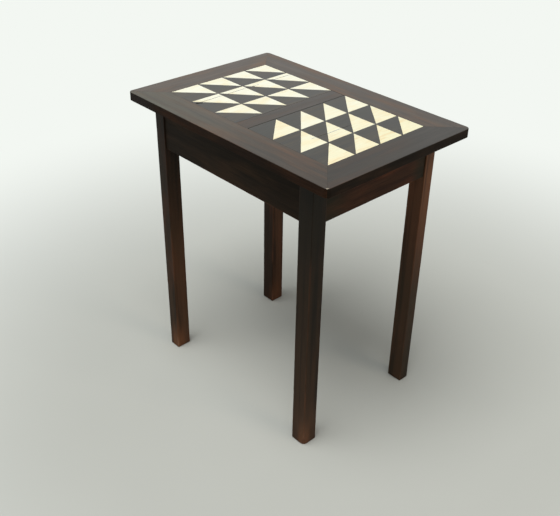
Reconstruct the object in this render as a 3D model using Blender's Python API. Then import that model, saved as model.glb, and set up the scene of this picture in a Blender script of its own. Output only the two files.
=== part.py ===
# Side table with an inlaid top: a mitred frame round two panels of triangles, on four straight legs.
# X runs along the long side, Y along the short side and Z up. The origin is on the floor under the middle.
# Front is -Y, left is -X. Lengths are in metres.

import itertools
import math

import bmesh
import bpy
from mathutils import Vector

# Whole table
table_height = 0.660
top_length = 0.600
top_width = 0.400
fit = 0.0003  # gap left between two pieces that touch
overrun = 0.002  # how far a cutter reaches past the face that it enters

# Top: mitred border, core board in its rebate, and a face of two panels and a centre strip
top_thickness = 0.019
face_thickness = 0.007  # panels, centre strip, and the border's lip over the core board
border_width = 0.0645
rebate_width = 0.012
centre_width = 0.036
open_joint = 0.0008  # shrunken joint between the centre strip and the right panel
top_corner_radius = 0.010
top_arris = 0.0012

# Inlay: cells of a panel, each split in a cream and a dark triangle. The rows and columns were
# cut by hand and differ a little.
row_shares = (0.33, 0.35, 0.32)
column_shares = (0.27, 0.25, 0.24, 0.24)
inlay_thickness = 0.0035
inlay_line = 0.0014  # dark line between two pockets

# Legs. Each was planed to its own section, given as shares of the leg's side. The order of the
# corners is front left, front right, back right, back left.
leg_side = 0.037
section_x_shares = (0.81, 1.00, 1.03, 0.99)
section_y_shares = (0.99, 1.00, 0.74, 0.99)
leg_arris = 0.0016
foot_round = 0.0022
overhang_ends = 0.058  # top past the legs' outer faces, along X
overhang_sides = 0.026  # the same along Y

# Aprons
apron_height = 0.0945
apron_thickness = 0.018
apron_recess = 0.003  # the aprons' faces lie behind the legs' faces
apron_arris = 0.0010
tenon_thickness = 0.008
tenon_shoulder = 0.012
mortise_wall = 0.004  # wood left in the leg between a tenon's tip and the other tenon's face

# Corner blocks and cleats under the top
block_reach = 0.048  # length of a block along an apron
block_end = 0.006
block_height = 0.030
block_screw_edge = 0.009  # leg screws, from the block's upper and lower faces
top_screw_inset = 0.010  # top screw, from the apron
cleat_length = 0.060
cleat_depth = 0.022
cleat_height = 0.022
block_arris = 0.0008

# Countersunk slotted screws
screw_diameter = 0.004
screw_head_diameter = 0.008
screw_head_rim = 0.0004
screw_point = 0.005
slot_width = 0.0010
slot_depth = 0.0010
leg_bite = 0.011  # depth of a leg screw in the leg
tip_cover = 0.003  # core board left above a top screw's point

# Counts
arc_steps = 4
screw_sides = 16

# Places worked out from the sizes
right_angle = math.pi / 2
diagonal = math.sqrt(2)
top_underside = table_height - top_thickness
face_bottom = table_height - face_thickness
leg_top = top_underside - fit
leg_x = top_length / 2 - overhang_ends
leg_y = top_width / 2 - overhang_sides
apron_bottom = leg_top - apron_height
apron_middle = apron_recess + apron_thickness / 2
apron_back = apron_recess + apron_thickness
tenon_height = apron_height - 2 * tenon_shoulder
opening_length = top_length - 2 * border_width
opening_width = top_width - 2 * border_width
panel_length = (opening_length - centre_width) / 2
core_thickness = top_thickness - face_thickness - fit
core_bite = core_thickness - tip_cover
block_bottom = leg_top - block_height
tenon_tip = apron_middle + tenon_thickness / 2 + mortise_wall
block_corner = apron_back + fit
block_face = block_corner + (block_reach + block_end) / 2
cleat_bottom = leg_top - cleat_height
cleat_near = apron_back + fit

# Side and corner names in quarter turns about Z, starting at the front and at the front left
sides = ("front", "right", "back", "left")
corners = ("front_left", "front_right", "back_right", "back_left")


def clear_scene():
    for thing in list(bpy.data.objects):
        bpy.data.objects.remove(thing, do_unlink=True)


# Outlines, as lists of points in a plane, anticlockwise

def arc(centre, radius, start, end):
    turn = (end - start) / arc_steps
    angles = [start + turn * step for step in range(arc_steps + 1)]
    return [(centre[0] + radius * math.cos(a), centre[1] + radius * math.sin(a)) for a in angles]


def rounded_rectangle(low, high, radius):
    left, right = low[0] + radius, high[0] - radius
    bottom, top = low[1] + radius, high[1] - radius
    centres = ((right, top), (left, top), (left, bottom), (right, bottom))
    points = []
    for quarter, centre in enumerate(centres):
        points += arc(centre, radius, quarter * right_angle, (quarter + 1) * right_angle)
    return points


def inset_outline(points, distance):
    """Moves every side of a convex outline inwards by the distance."""
    corners_in = []
    for before, here, after in zip(points[-1:] + points[:-1], points, points[1:] + points[:1]):
        into = (Vector(here) - Vector(before)).normalized()
        out = (Vector(after) - Vector(here)).normalized()
        bisector = (out - into).normalized()
        half_angle = math.acos(max(-1, min(1, -into.dot(out)))) / 2
        corners_in.append(tuple(Vector(here) + bisector * distance / math.sin(half_angle)))
    return corners_in


# Solids

def at_height(outline, z):
    return [(x, y, z) for x, y in outline]


def at_length(outline, x):
    return [(x, y, z) for y, z in outline]


def loft(loops):
    """A closed mesh through loops of as many points each, with its ends filled."""
    shape = bmesh.new()
    rings = [[shape.verts.new(point) for point in loop] for loop in loops]
    count = len(rings[0])
    for lower, upper in itertools.pairwise(rings):
        for i in range(count):
            j = (i + 1) % count
            shape.faces.new((lower[i], lower[j], upper[j], upper[i]))
    shape.faces.new(reversed(rings[0]))
    shape.faces.new(rings[-1])
    bmesh.ops.recalc_face_normals(shape, faces=shape.faces)
    return finished_mesh(shape)


def finished_mesh(shape):
    mesh = bpy.data.meshes.new("piece")
    shape.to_mesh(mesh)
    shape.free()
    return mesh


def prism(outline, low, high):
    return loft([at_height(outline, low), at_height(outline, high)])


def box(low, high):
    corners_of_box = ((low[0], low[1]), (high[0], low[1]), (high[0], high[1]), (low[0], high[1]))
    return prism(corners_of_box, low[2], high[2])


def turned(profile):
    """A solid of revolution about Z from (radius, height) points, which start and end on the axis."""
    shape = bmesh.new()
    chain = [shape.verts.new((radius, 0, z)) for radius, z in profile]
    edges = [shape.edges.new(pair) for pair in itertools.pairwise(chain)]
    bmesh.ops.spin(
        shape, geom=chain + edges, cent=(0, 0, 0), axis=(0, 0, 1),
        angle=4 * right_angle, steps=screw_sides, use_merge=True,
    )
    bmesh.ops.remove_doubles(shape, verts=shape.verts, dist=fit / 10)
    bmesh.ops.recalc_face_normals(shape, faces=shape.faces)
    return finished_mesh(shape)


# Objects

def new_object(name, mesh, parent=None, location=(0, 0, 0), rotation=(0, 0, 0)):
    thing = bpy.data.objects.new(name, mesh)
    bpy.context.scene.collection.objects.link(thing)
    thing.parent = parent
    thing.location = location
    thing.rotation_euler = rotation
    return thing


def carved(mesh, cutter_meshes):
    """The mesh with the cutters taken out, all given in the same coordinates."""
    blank = new_object("blank", mesh)
    cutters = [new_object("cutter", cutter_mesh) for cutter_mesh in cutter_meshes]
    for cutter in cutters:
        cut = blank.modifiers.new("cut", "BOOLEAN")
        cut.operation = "DIFFERENCE"
        cut.solver = "EXACT"
        cut.object = cutter
    graph = bpy.context.evaluated_depsgraph_get()
    result = bpy.data.meshes.new_from_object(blank.evaluated_get(graph))
    for helper in cutters + [blank]:
        bpy.data.objects.remove(helper)
    return result


def moved(mesh, location, direction=(0, 0, 1)):
    """The mesh with its own Z along the direction, then shifted to the location."""
    turn = Vector(direction).to_track_quat("Z", "Y").to_matrix().to_4x4()
    mesh.transform(turn)
    for vertex in mesh.vertices:
        vertex.co += Vector(location)
    return mesh


def quarter_turned(mesh, quarter, location):
    """The mesh turned about Z by quarter turns, then shifted to the location."""
    for vertex in mesh.vertices:
        x, y, z = vertex.co
        for _ in range(quarter):
            x, y = -y, x
        vertex.co = Vector((x, y, z)) + Vector(location)
    return mesh


def quarter(count):
    return (0, 0, count * right_angle)


def corner_place(index):
    """Outer corner of a leg on the floor."""
    x = leg_x if index in (1, 2) else -leg_x
    y = leg_y if index in (2, 3) else -leg_y
    return (x, y, 0)


# Materials: colour, roughness, metallic

finishes = {
    "stained_wood": ((0.020, 0.010, 0.006), 0.42, 0),
    "top_wood": ((0.032, 0.016, 0.010), 0.38, 0),
    "charcoal_wood": ((0.022, 0.021, 0.018), 0.40, 0),
    "cream_wood": ((0.890, 0.780, 0.540), 0.45, 0),
    "pale_wood": ((0.420, 0.270, 0.150), 0.70, 0),
    "steel": ((0.560, 0.570, 0.580), 0.35, 1),
}


def paint(thing, finish):
    """Gives the object a material of its own, named for its finish and for the object."""
    colour, roughness, metallic = finishes[finish]
    material = bpy.data.materials.new(f"{finish}_{thing.name}")
    material.use_nodes = True
    shader = material.node_tree.nodes["Principled BSDF"]
    shader.inputs["Base Color"].default_value = (*colour, 1)
    shader.inputs["Roughness"].default_value = roughness
    shader.inputs["Metallic"].default_value = metallic
    thing.data.materials.clear()
    thing.data.materials.append(material)


# Screws, with the head's face at the origin and the point along -Z

def screw_profile(length, grow=0, head_top=0):
    """Half of a screw's section. A hole's is the same, grown by the fit and open past the head."""
    shank = screw_diameter / 2 + grow
    head = screw_head_diameter / 2 + grow
    neck = screw_head_rim + head - shank
    return [
        (0, head_top), (head, head_top), (head, -screw_head_rim), (shank, -neck),
        (shank, screw_point - length), (0, -length - grow),
    ]


def screw_mesh(length):
    reach = screw_head_diameter / 2 + overrun
    slot = box((-reach, -slot_width / 2, -slot_depth), (reach, slot_width / 2, overrun))
    mesh = carved(turned(screw_profile(length)), [slot])
    mesh.shade_smooth()
    mesh.set_sharp_from_angle(angle=right_angle / 3)
    return mesh


def screw_hole(length):
    return turned(screw_profile(length, grow=fit, head_top=overrun))


# Legs, in a corner's own frame: X and Y run inwards from the leg's outer corner

def leg_section(index):
    """Sides of a leg in its corner's frame, which turns by a quarter from corner to corner."""
    along_x = leg_side * section_x_shares[index]
    along_y = leg_side * section_y_shares[index]
    return (along_x, along_y) if index % 2 == 0 else (along_y, along_x)


def leg_mesh(section):
    loops = []
    for step in range(arc_steps + 1):
        angle = right_angle * step / arc_steps
        worn = foot_round * (1 - math.sin(angle))
        outline = rounded_rectangle((worn, worn), (section[0] - worn, section[1] - worn), leg_arris)
        loops.append(at_height(outline, foot_round * (1 - math.cos(angle))))
    loops.append(at_height(rounded_rectangle((0, 0), section, leg_arris), leg_top))
    cutters = [mortise_for_x_apron(section[0]), mortise_for_y_apron(section[1])]
    hole = screw_hole(leg_screw_length(section))
    cutters += [moved(hole.copy(), place, (1, 1, 0)) for place in leg_screw_places()]
    return carved(loft(loops), cutters)


def mortise_span():
    half = tenon_thickness / 2 + fit
    return apron_middle - half, apron_middle + half


def mortise_heights():
    low = apron_bottom + tenon_shoulder - fit
    return low, low + tenon_height + 2 * fit


def mortise_for_x_apron(side):
    near, far = mortise_span()
    low, high = mortise_heights()
    return box((tenon_tip - fit, near, low), (side + overrun, far, high))


def mortise_for_y_apron(side):
    near, far = mortise_span()
    low, high = mortise_heights()
    return box((near, tenon_tip - fit, low), (far, side + overrun, high))


def leg_screw_places():
    """Centres of the two leg screws' heads, on the slanted face of the corner block."""
    heights = (block_bottom + block_screw_edge, leg_top - block_screw_edge)
    return [(block_face, block_face, z) for z in heights]


def leg_screw_length(section):
    return diagonal * (block_face - min(section)) + leg_bite


# Corner blocks, in the same frame

def block_outline(section):
    """A triangle with blunt ends, notched round the leg."""
    tip = block_corner + block_reach
    end = block_corner + block_end
    notch_x, notch_y = section[0] + fit, section[1] + fit
    return [
        (notch_x, block_corner), (tip, block_corner), (tip, end),
        (end, tip), (block_corner, tip), (block_corner, notch_y), (notch_x, notch_y),
    ]


def top_screw_place():
    """Centre of the top screw's head, on the block's lower face, in the wing along local X."""
    return ((leg_side + block_corner + block_reach) / 2, block_corner + top_screw_inset, block_bottom)


def top_screw_length():
    return block_height + fit + core_bite


def block_mesh(section):
    hole = screw_hole(leg_screw_length(section))
    holes = [moved(hole.copy(), place, (1, 1, 0)) for place in leg_screw_places()]
    holes.append(moved(screw_hole(top_screw_length()), top_screw_place(), (0, 0, -1)))
    return carved(prism(block_outline(section), block_bottom, leg_top), holes)


# Aprons, along X from the middle of a side, with Y running inwards from the legs' outer faces

def apron_mesh(index, side_length):
    """An apron with a tenon at each end, between the legs of its own corner and of the next."""
    start = -side_length / 2 + leg_section(index)[0] + fit
    end = side_length / 2 - leg_section((index + 1) % len(corners))[1] - fit
    body = rounded_rectangle((apron_recess, apron_bottom), (apron_back, leg_top), apron_arris)
    near = apron_middle - tenon_thickness / 2
    low = apron_bottom + tenon_shoulder
    tenon = rounded_rectangle((near, low), (near + tenon_thickness, low + tenon_height), apron_arris)
    tip = side_length / 2 - tenon_tip
    return loft([
        at_length(tenon, -tip), at_length(tenon, start), at_length(body, start),
        at_length(body, end), at_length(tenon, end), at_length(tenon, tip),
    ])


# Cleats, in the frame of the long aprons

def cleat_outline():
    return rounded_rectangle(
        (-cleat_length / 2, cleat_near), (cleat_length / 2, cleat_near + cleat_depth), block_arris,
    )


def cleat_screw_place():
    return (0, cleat_near + cleat_depth / 2, cleat_bottom)


def cleat_screw_length():
    return cleat_height + fit + core_bite


def cleat_mesh():
    hole = moved(screw_hole(cleat_screw_length()), cleat_screw_place(), (0, 0, -1))
    return carved(prism(cleat_outline(), cleat_bottom, leg_top), [hole])


# Top

def top_holes():
    """Pilot holes of the screws that come up into the top, in world coordinates."""
    holes = []
    for index in range(len(corners)):
        hole = moved(screw_hole(top_screw_length()), top_screw_place(), (0, 0, -1))
        holes.append(quarter_turned(hole, index, corner_place(index)))
    for index in (0, 2):
        hole = moved(screw_hole(cleat_screw_length()), cleat_screw_place(), (0, 0, -1))
        holes.append(quarter_turned(hole, index, side_place(index)))
    return holes


def side_place(index):
    """Middle of a side, on the floor below the legs' outer faces."""
    return ((0, -leg_y, 0), (leg_x, 0, 0), (0, leg_y, 0), (-leg_x, 0, 0))[index]


def border_outline(length, outer, inset):
    """A strip along X, mitred at both ends, with the top's round corners shared by two strips."""
    half = length / 2
    radius = top_corner_radius
    eighth = right_angle / 2
    left_centre = (-half + radius, -outer + radius)
    right_centre = (half - radius, -outer + radius)
    inner = border_width
    return (
        arc(left_centre, radius - inset, -3 * eighth, -2 * eighth)
        + arc(right_centre, radius - inset, -2 * eighth, -eighth)
        + [(half - inner, inner - outer), (inner - half, inner - outer)]
    )


def border_mesh(index, cutters):
    """A strip of the border, with its rebate and its part of the round corners."""
    long_side = index in (0, 2)
    length = (top_length if long_side else top_width) - diagonal * fit
    outer = (top_width if long_side else top_length) / 2
    levels = (
        (top_underside, top_arris), (top_underside + top_arris, 0),
        (table_height - top_arris, 0), (table_height, top_arris),
    )
    strip = loft([at_height(border_outline(length, outer, inset), z) for z, inset in levels])
    return carved(quarter_turned(strip, index, (0, 0, 0)), [cutter.copy() for cutter in cutters])


def core_box(grow, low, high):
    half_length = opening_length / 2 + rebate_width + grow
    half_width = opening_width / 2 + rebate_width + grow
    return box((-half_length, -half_width, low), (half_length, half_width, high))


def core_mesh(holes):
    board = core_box(-fit, top_underside, top_underside + core_thickness)
    return carved(board, [hole.copy() for hole in holes])


def centre_mesh():
    half_width = opening_width / 2 - fit
    return box(
        (-centre_width / 2, -half_width, face_bottom),
        (centre_width / 2 - open_joint + fit, half_width, table_height),
    )


# Inlay

def grid_lines(start, length, shares):
    lines = [start]
    for share in shares:
        lines.append(lines[-1] + length * share / sum(shares))
    return lines


def panel_start(side):
    return -opening_length / 2 if side == "left" else centre_width / 2


def cream_triangles(side):
    """Corner points of every cream triangle of a panel, by row along X and column along Y."""
    xs = grid_lines(panel_start(side), panel_length, row_shares)
    ys = grid_lines(-opening_width / 2, opening_width, column_shares)
    triangles = {}
    for row, (near, far) in enumerate(itertools.pairwise(xs), start=1):
        for column, (low, high) in enumerate(itertools.pairwise(ys), start=1):
            if side == "left":
                points = [(near, low), (far, high), (near, high)]
            else:
                points = [(far, low), (far, high), (near, high)]
            triangles[row, column] = points
    return triangles


def panel_mesh(side):
    low = panel_start(side) + fit
    high = low + panel_length - 2 * fit
    half_width = opening_width / 2 - fit
    board = box((low, -half_width, face_bottom), (high, half_width, table_height))
    pocket_bottom = table_height - inlay_thickness - fit
    pockets = [
        prism(inset_outline(points, inlay_line / 2), pocket_bottom, table_height + overrun)
        for points in cream_triangles(side).values()
    ]
    return carved(board, pockets)


def triangle_mesh(points):
    outline = inset_outline(points, inlay_line / 2 + fit)
    return prism(outline, table_height - inlay_thickness, table_height)


# Assembly

def add(name, mesh, finish, parent=None, location=(0, 0, 0), rotation=(0, 0, 0)):
    piece = new_object(name, mesh, parent, location, rotation)
    paint(piece, finish)
    return piece


def direction_angles(direction):
    return Vector(direction).to_track_quat("Z", "Y").to_euler()


def build_corners():
    """Four corners: a leg, its block and its screws, all hung on one empty."""
    top_screw = screw_mesh(top_screw_length())
    inwards = direction_angles((1, 1, 0))
    downwards = direction_angles((0, 0, -1))
    for index, corner in enumerate(corners):
        frame = new_object(f"corner_{corner}", None, None, corner_place(index), quarter(index))
        section = leg_section(index)
        leg_screw = screw_mesh(leg_screw_length(section))
        add(f"leg_{corner}", leg_mesh(section), "stained_wood", frame)
        add(f"corner_block_{corner}", block_mesh(section), "pale_wood", frame)
        for level, place in zip(("lower", "upper"), leg_screw_places()):
            add(f"leg_screw_{corner}_{level}", leg_screw.copy(), "steel", frame, place, inwards)
        add(f"top_screw_{corner}", top_screw.copy(), "steel", frame, top_screw_place(), downwards)


def build_sides():
    """Four aprons, with a cleat and its screw behind each long one."""
    cleat = cleat_mesh()
    cleat_screw = screw_mesh(cleat_screw_length())
    downwards = direction_angles((0, 0, -1))
    for index, side in enumerate(sides):
        long_side = index in (0, 2)
        frame = new_object(f"side_{side}", None, None, side_place(index), quarter(index))
        length = 2 * (leg_x if long_side else leg_y)
        add(f"apron_{side}", apron_mesh(index, length), "stained_wood", frame)
        if long_side:
            add(f"cleat_{side}", cleat.copy(), "pale_wood", frame)
            add(f"cleat_screw_{side}", cleat_screw.copy(), "steel", frame, cleat_screw_place(), downwards)


def build_top():
    holes = top_holes()
    rebate = core_box(0, top_underside - overrun, face_bottom)
    for index, side in enumerate(sides):
        add(f"border_{side}", border_mesh(index, [rebate] + holes), "top_wood")
    add("core_board", core_mesh(holes), "pale_wood")
    add("centre_strip", centre_mesh(), "top_wood")
    for side in ("left", "right"):
        add(f"inlay_panel_{side}", panel_mesh(side), "charcoal_wood")
        for (row, column), points in cream_triangles(side).items():
            add(f"inlay_{side}_{row}_{column}", triangle_mesh(points), "cream_wood")


clear_scene()
build_corners()
build_sides()
build_top()
bpy.context.view_layer.update()
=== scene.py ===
# %% [markdown]
# This script dresses a packed side table: a mitred frame round two panels of inlaid triangles, on four
# straight legs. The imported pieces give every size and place. The script models finer wooden pieces over
# them and gives each surface a finish built from nodes.
# X runs along the long side, Y along the short side and Z up. Front is -Y. All lengths are in metres.

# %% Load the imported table
import math

import bmesh
import bpy
from mathutils import Matrix, Vector, noise


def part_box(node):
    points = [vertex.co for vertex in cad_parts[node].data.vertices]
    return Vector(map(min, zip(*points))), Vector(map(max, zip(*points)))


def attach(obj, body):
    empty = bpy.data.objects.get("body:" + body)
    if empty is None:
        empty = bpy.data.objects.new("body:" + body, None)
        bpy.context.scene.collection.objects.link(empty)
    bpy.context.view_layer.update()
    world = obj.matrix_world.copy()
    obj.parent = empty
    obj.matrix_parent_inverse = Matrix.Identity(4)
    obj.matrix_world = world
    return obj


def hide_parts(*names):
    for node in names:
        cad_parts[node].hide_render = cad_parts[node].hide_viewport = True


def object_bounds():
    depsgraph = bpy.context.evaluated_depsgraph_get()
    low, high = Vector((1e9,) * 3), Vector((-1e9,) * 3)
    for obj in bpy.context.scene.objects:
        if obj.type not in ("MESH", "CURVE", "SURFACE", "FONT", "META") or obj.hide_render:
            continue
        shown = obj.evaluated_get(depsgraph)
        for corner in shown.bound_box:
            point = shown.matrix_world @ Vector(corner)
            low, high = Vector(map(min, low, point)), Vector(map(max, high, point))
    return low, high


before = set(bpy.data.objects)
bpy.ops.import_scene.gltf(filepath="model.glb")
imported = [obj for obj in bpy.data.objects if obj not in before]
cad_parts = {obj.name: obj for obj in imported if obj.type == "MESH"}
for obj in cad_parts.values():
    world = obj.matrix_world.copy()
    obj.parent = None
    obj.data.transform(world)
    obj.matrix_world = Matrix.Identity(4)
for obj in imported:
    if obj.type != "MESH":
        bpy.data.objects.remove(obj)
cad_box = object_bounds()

mm = 0.001
fit = 0.3 * mm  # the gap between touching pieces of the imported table


def rounded(values, digits=4):
    return [round(value, digits) for value in values]


print("packed pieces:", len(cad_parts), "box:", [rounded(corner) for corner in cad_box])

# %% [markdown]
# The camera stands at the photograph's place: above the front right corner, looking down at the top.
# Its axes were worked out from the table's edges, so they are written as numbers and not as angles.
# A camera looks along its own -Z, with Y up, so the matrix holds right, up and back as columns. The focal
# length was found in pixels of the photograph, and a lens is given in millimetres of its sensor.

# %% Camera
camera_place = Vector((1.1385, -1.0864, 1.2969))
camera_right = Vector((0.67444626, 0.73818902, 0.01411444))
camera_up = Vector((-0.40420803, 0.35317211, 0.84373297))
camera_back = camera_right.cross(camera_up)
focal_pixels, photo_width, sensor = 814.19, 560, 36.0


def place_camera():
    bpy.ops.object.select_all(action="DESELECT")
    bpy.ops.object.camera_add()
    camera = bpy.context.object
    camera.name = "photo_camera"
    axes = Matrix((camera_right, camera_up, camera_back)).transposed()
    camera.matrix_world = Matrix.Translation(camera_place) @ axes.to_4x4()
    camera.data.sensor_fit = "HORIZONTAL"
    camera.data.sensor_width = sensor
    camera.data.lens = focal_pixels * sensor / photo_width
    bpy.context.scene.camera = camera
    return camera


camera = place_camera()
bpy.context.scene.view_settings.view_transform = "Standard"
print("lens", round(camera.data.lens, 2), "mm at", rounded(camera_place, 3))

# %% [markdown]
# Every finish is a small network of nodes. One function adds a node, sets its properties and joins its
# sockets, so that a pattern reads as a list of nodes. A socket is named, or numbered where names repeat.
# Colours are written as sRGB hex values, as a paint chart gives them, and turned to linear light once.

# %% Helpers for finishes
def linear(hex_colour):
    """An sRGB hex colour as linear red, green, blue and alpha."""
    parts = [int(hex_colour[i:i + 2], 16) / 255 for i in (1, 3, 5)]
    return [part / 12.92 if part <= 0.04045 else ((part + 0.055) / 1.055) ** 2.4 for part in parts] + [1.0]


def join(owner, value, target):
    """Gives a socket its value: a number, a colour, another node or one of its output sockets."""
    if isinstance(value, bpy.types.Node):
        value = next(socket for socket in value.outputs if socket.enabled)
    if isinstance(value, bpy.types.NodeSocket):
        owner.node_tree.links.new(value, target)
    else:
        target.default_value = value


def add_node(owner, kind, sockets=None, **settings):
    """A new shader node with its settings, and with its sockets joined or set."""
    made = owner.node_tree.nodes.new("ShaderNode" + kind)
    for name, value in settings.items():
        setattr(made, name, value)
    for key, value in (sockets or {}).items():
        open_sockets = [socket for socket in made.inputs if socket.enabled]
        named = {socket.name: socket for socket in reversed(open_sockets)}
        join(owner, value, open_sockets[key] if isinstance(key, int) else named[key])
    return made


def new_finish(name):
    """An empty material and the object's own coordinates in it."""
    finish = bpy.data.materials.new(name)
    finish.use_nodes = True
    return finish, add_node(finish, "TexCoord").outputs["Object"]


def joined_to_shader(finish, sockets):
    """The finish, with its patterns and values joined to its shader."""
    shader = finish.node_tree.nodes["Principled BSDF"]
    for name, value in sockets.items():
        join(finish, value, shader.inputs[name])
    return finish


print("cream in linear light:", rounded(linear("#f4e9c4"), 3))

# %% [markdown]
# Wood grain is a solid pattern: long thin cells that run along the trunk. Noise that is stretched along
# one axis gives that, and it also gives the right end grain on sawn ends, because the pattern fills space.
# Three sizes are laid over each other: bands of colour, fibres, and pores. Real pores are about 0.2 mm
# wide, too fine to show, so they are drawn at 0.7 mm.
# A stain, a rubbed place or a film of dirt is a coat: a colour laid over what is there, as far as its masks
# let it through. So a finish is the bare colour and then its coats, in the order in which they came.

# %% Grain and coats
def along(axis, length, width):
    """Pattern scales, in repeats per metre: long along the grain's axis and narrow across it."""
    return [1 / length if index == axis else 1 / width for index in range(3)]


def streaks(finish, coordinates, axis, length, width, shift, detail=2.0, distortion=0.0):
    """Noise from 0 to 1 in cells of this length and width."""
    stretched = add_node(finish, "Mapping", {
        "Vector": coordinates, "Location": (shift, shift * 1.7, shift * 0.6),
        "Scale": along(axis, length, width),
    })
    return add_node(finish, "TexNoise", {
        "Vector": stretched, "Scale": 1.0, "Detail": detail, "Roughness": 0.55, "Distortion": distortion,
    })


def masked(owner, amount, *masks):
    """The amount times every mask.

    A mask is a value from 0 to 1, or a pattern with its values where the mask starts and where it is full.
    """
    for mask in masks:
        if isinstance(mask, tuple):
            pattern, start, full = mask
            mask = add_node(owner, "MapRange", {
                "Value": pattern, "From Min": start, "From Max": full,
            }, interpolation_type="SMOOTHSTEP")
        amount = add_node(owner, "Math", {0: mask, 1: amount}, operation="MULTIPLY")
    return amount


def coat(owner, below, colour, *masks, amount=1.0, mode="MIX"):
    """Lays a colour over what is below, as far as the amount and every mask let it through."""
    return add_node(owner, "Mix", {
        "Factor": masked(owner, amount, *masks), "A": below, "B": linear(colour),
    }, data_type="RGBA", blend_type=mode)


def arris_mask(finish, coordinates, box, band):
    """1 on the arrises of a box and 0 further than the band from them, also for its mirror images.

    The distance from the box's middle is measured along X, Y and Z. Each of the three grows from 0 to 1
    in the band below the surface, so their sum passes 1 only where two faces are near.
    """
    low, high = (Vector(corner) for corner in box)
    deep = (high - low) / 2 - Vector((band,) * 3)
    value = coordinates
    for operation, sockets in (
        ("ABSOLUTE", {}), ("SUBTRACT", {1: (low + high) / 2}), ("ABSOLUTE", {}), ("SUBTRACT", {1: deep}),
        ("SCALE", {"Scale": 1 / band}), ("MAXIMUM", {1: (0, 0, 0)}), ("DOT_PRODUCT", {1: (1, 1, 1)}),
    ):
        value = add_node(finish, "VectorMath", {0: value, **sockets}, operation=operation)
    return add_node(finish, "Math", {0: value, 1: 1.0}, operation="SUBTRACT", use_clamp=True)


def grain_bump(finish, fibres, pores, pore_edge, depth, strength):
    """Bumps in which the fibres stand up and the open pores sink in."""
    relief = masked(finish, fibres, (pores, pore_edge + 0.14, pore_edge))
    return add_node(finish, "Bump", {"Height": relief, "Distance": depth, "Strength": strength})


print("pore scales, in repeats per metre:", rounded(along(2, 9 * mm, 0.7 * mm), 0))

# %% [markdown]
# The legs and aprons are a close-grained hardwood, stained near-black brown under a thin satin lacquer.
# The eye sees a dark brown that turns reddish where the stain is thin, dull rather than glossy, with
# rubbed arrises. The stain's unevenness runs along the grain, so each direction of grain gets its own
# material from one function. Each leg also has its own grime and painted shade towards the top, paler
# places that are partly faded stain and partly painted light, and a foot corner where shoes scuffed off the
# stain.

# %% Stained wood of the legs and aprons
def stained_beech(name, axis, colours, gloss, box, shift, grime_and_shade=(), kick=None):
    """Dark stained beech, worn where two faces of the box meet.

    Each layer of grime and painted shade has an amount, an axis, the places on it where the layer starts
    and is full, and a colour. The kick is the place in plan that shoes hit, its reach and its amount.
    """
    dark, middle, red = colours
    finish, coordinates = new_finish(name)
    places = add_node(finish, "SeparateXYZ", {0: coordinates}).outputs
    bands = streaks(finish, coordinates, axis, 420 * mm, 15 * mm, shift, distortion=0.3)
    fibres = streaks(finish, coordinates, axis, 60 * mm, 1.6 * mm, shift + 4)
    pores = streaks(finish, coordinates, axis, 9 * mm, 0.7 * mm, shift + 8, detail=1.0)
    patches = streaks(finish, coordinates, axis, 110 * mm, 26 * mm, shift + 12)
    arris = arris_mask(finish, coordinates, box, band=4 * mm)
    wood = coat(finish, linear(dark), middle, (bands, 0.28, 0.70))
    wood = coat(finish, wood, red, (patches, 0.42, 0.78))
    wood = coat(finish, wood, "#b9b0a8", (fibres, 0.70, 0.30), amount=0.75, mode="MULTIPLY")
    wood = coat(finish, wood, "#1a110c", (pores, 0.66, 0.78))
    wood = coat(finish, wood, "#634230", arris, (patches, 0.36, 0.60), amount=0.6)
    if kick:
        kick_x, kick_y, reach, amount = kick
        height = places["Z"]
        hit = (kick_x, kick_y, 0)
        in_plan = add_node(finish, "VectorMath", {0: coordinates, 1: (1, 1, 0)}, operation="MULTIPLY")
        distance = add_node(finish, "VectorMath", {0: in_plan, 1: hit}, operation="DISTANCE")
        kicked = (distance, reach, 0.3 * reach), (height, 90 * mm, 6 * mm)
        wood = coat(finish, wood, "#744a2f", *kicked, (fibres, 0.05, 0.55), amount=amount)
        wood = coat(finish, wood, "#96705a", *kicked, arris, (height, 45 * mm, 12 * mm), amount=amount)
    # A paler coat where the leg's attribute says: partly faded stain, partly painted light.
    fade_and_light = add_node(finish, "Attribute", attribute_name="fade_and_light").outputs["Fac"]
    wood = coat(finish, wood, "#754e36", fade_and_light, (bands, 0.26, 0.56))
    # Layers of grime and painted shade, one by one.
    for amount, across, start, full, colour in grime_and_shade:
        wood = coat(finish, wood, colour, (places[across], start, full), amount=amount)
    return joined_to_shader(finish, {
        "Base Color": wood, "Specular IOR Level": gloss,
        "Roughness": add_node(finish, "MapRange", {"Value": fibres, "To Min": 0.44, "To Max": 0.60}),
        "Normal": grain_bump(finish, fibres, pores, pore_edge=0.60, depth=0.12 * mm, strength=0.7),
    })


# Black and grey for layers of grime and painted shade.
shade_and_grime_black, shade_and_grime_grey = "#10110d", "#22271f"
leg_colours = {
    "front_left": ("#261f17", "#352b20", "#482d1e"), "front_right": ("#231d17", "#2f281e", "#37291d"),
    "back_right": ("#2b1d14", "#3c2a1d", "#4e3021"), "back_left": ("#271c15", "#37281d", "#482c1e"),
}
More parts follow.
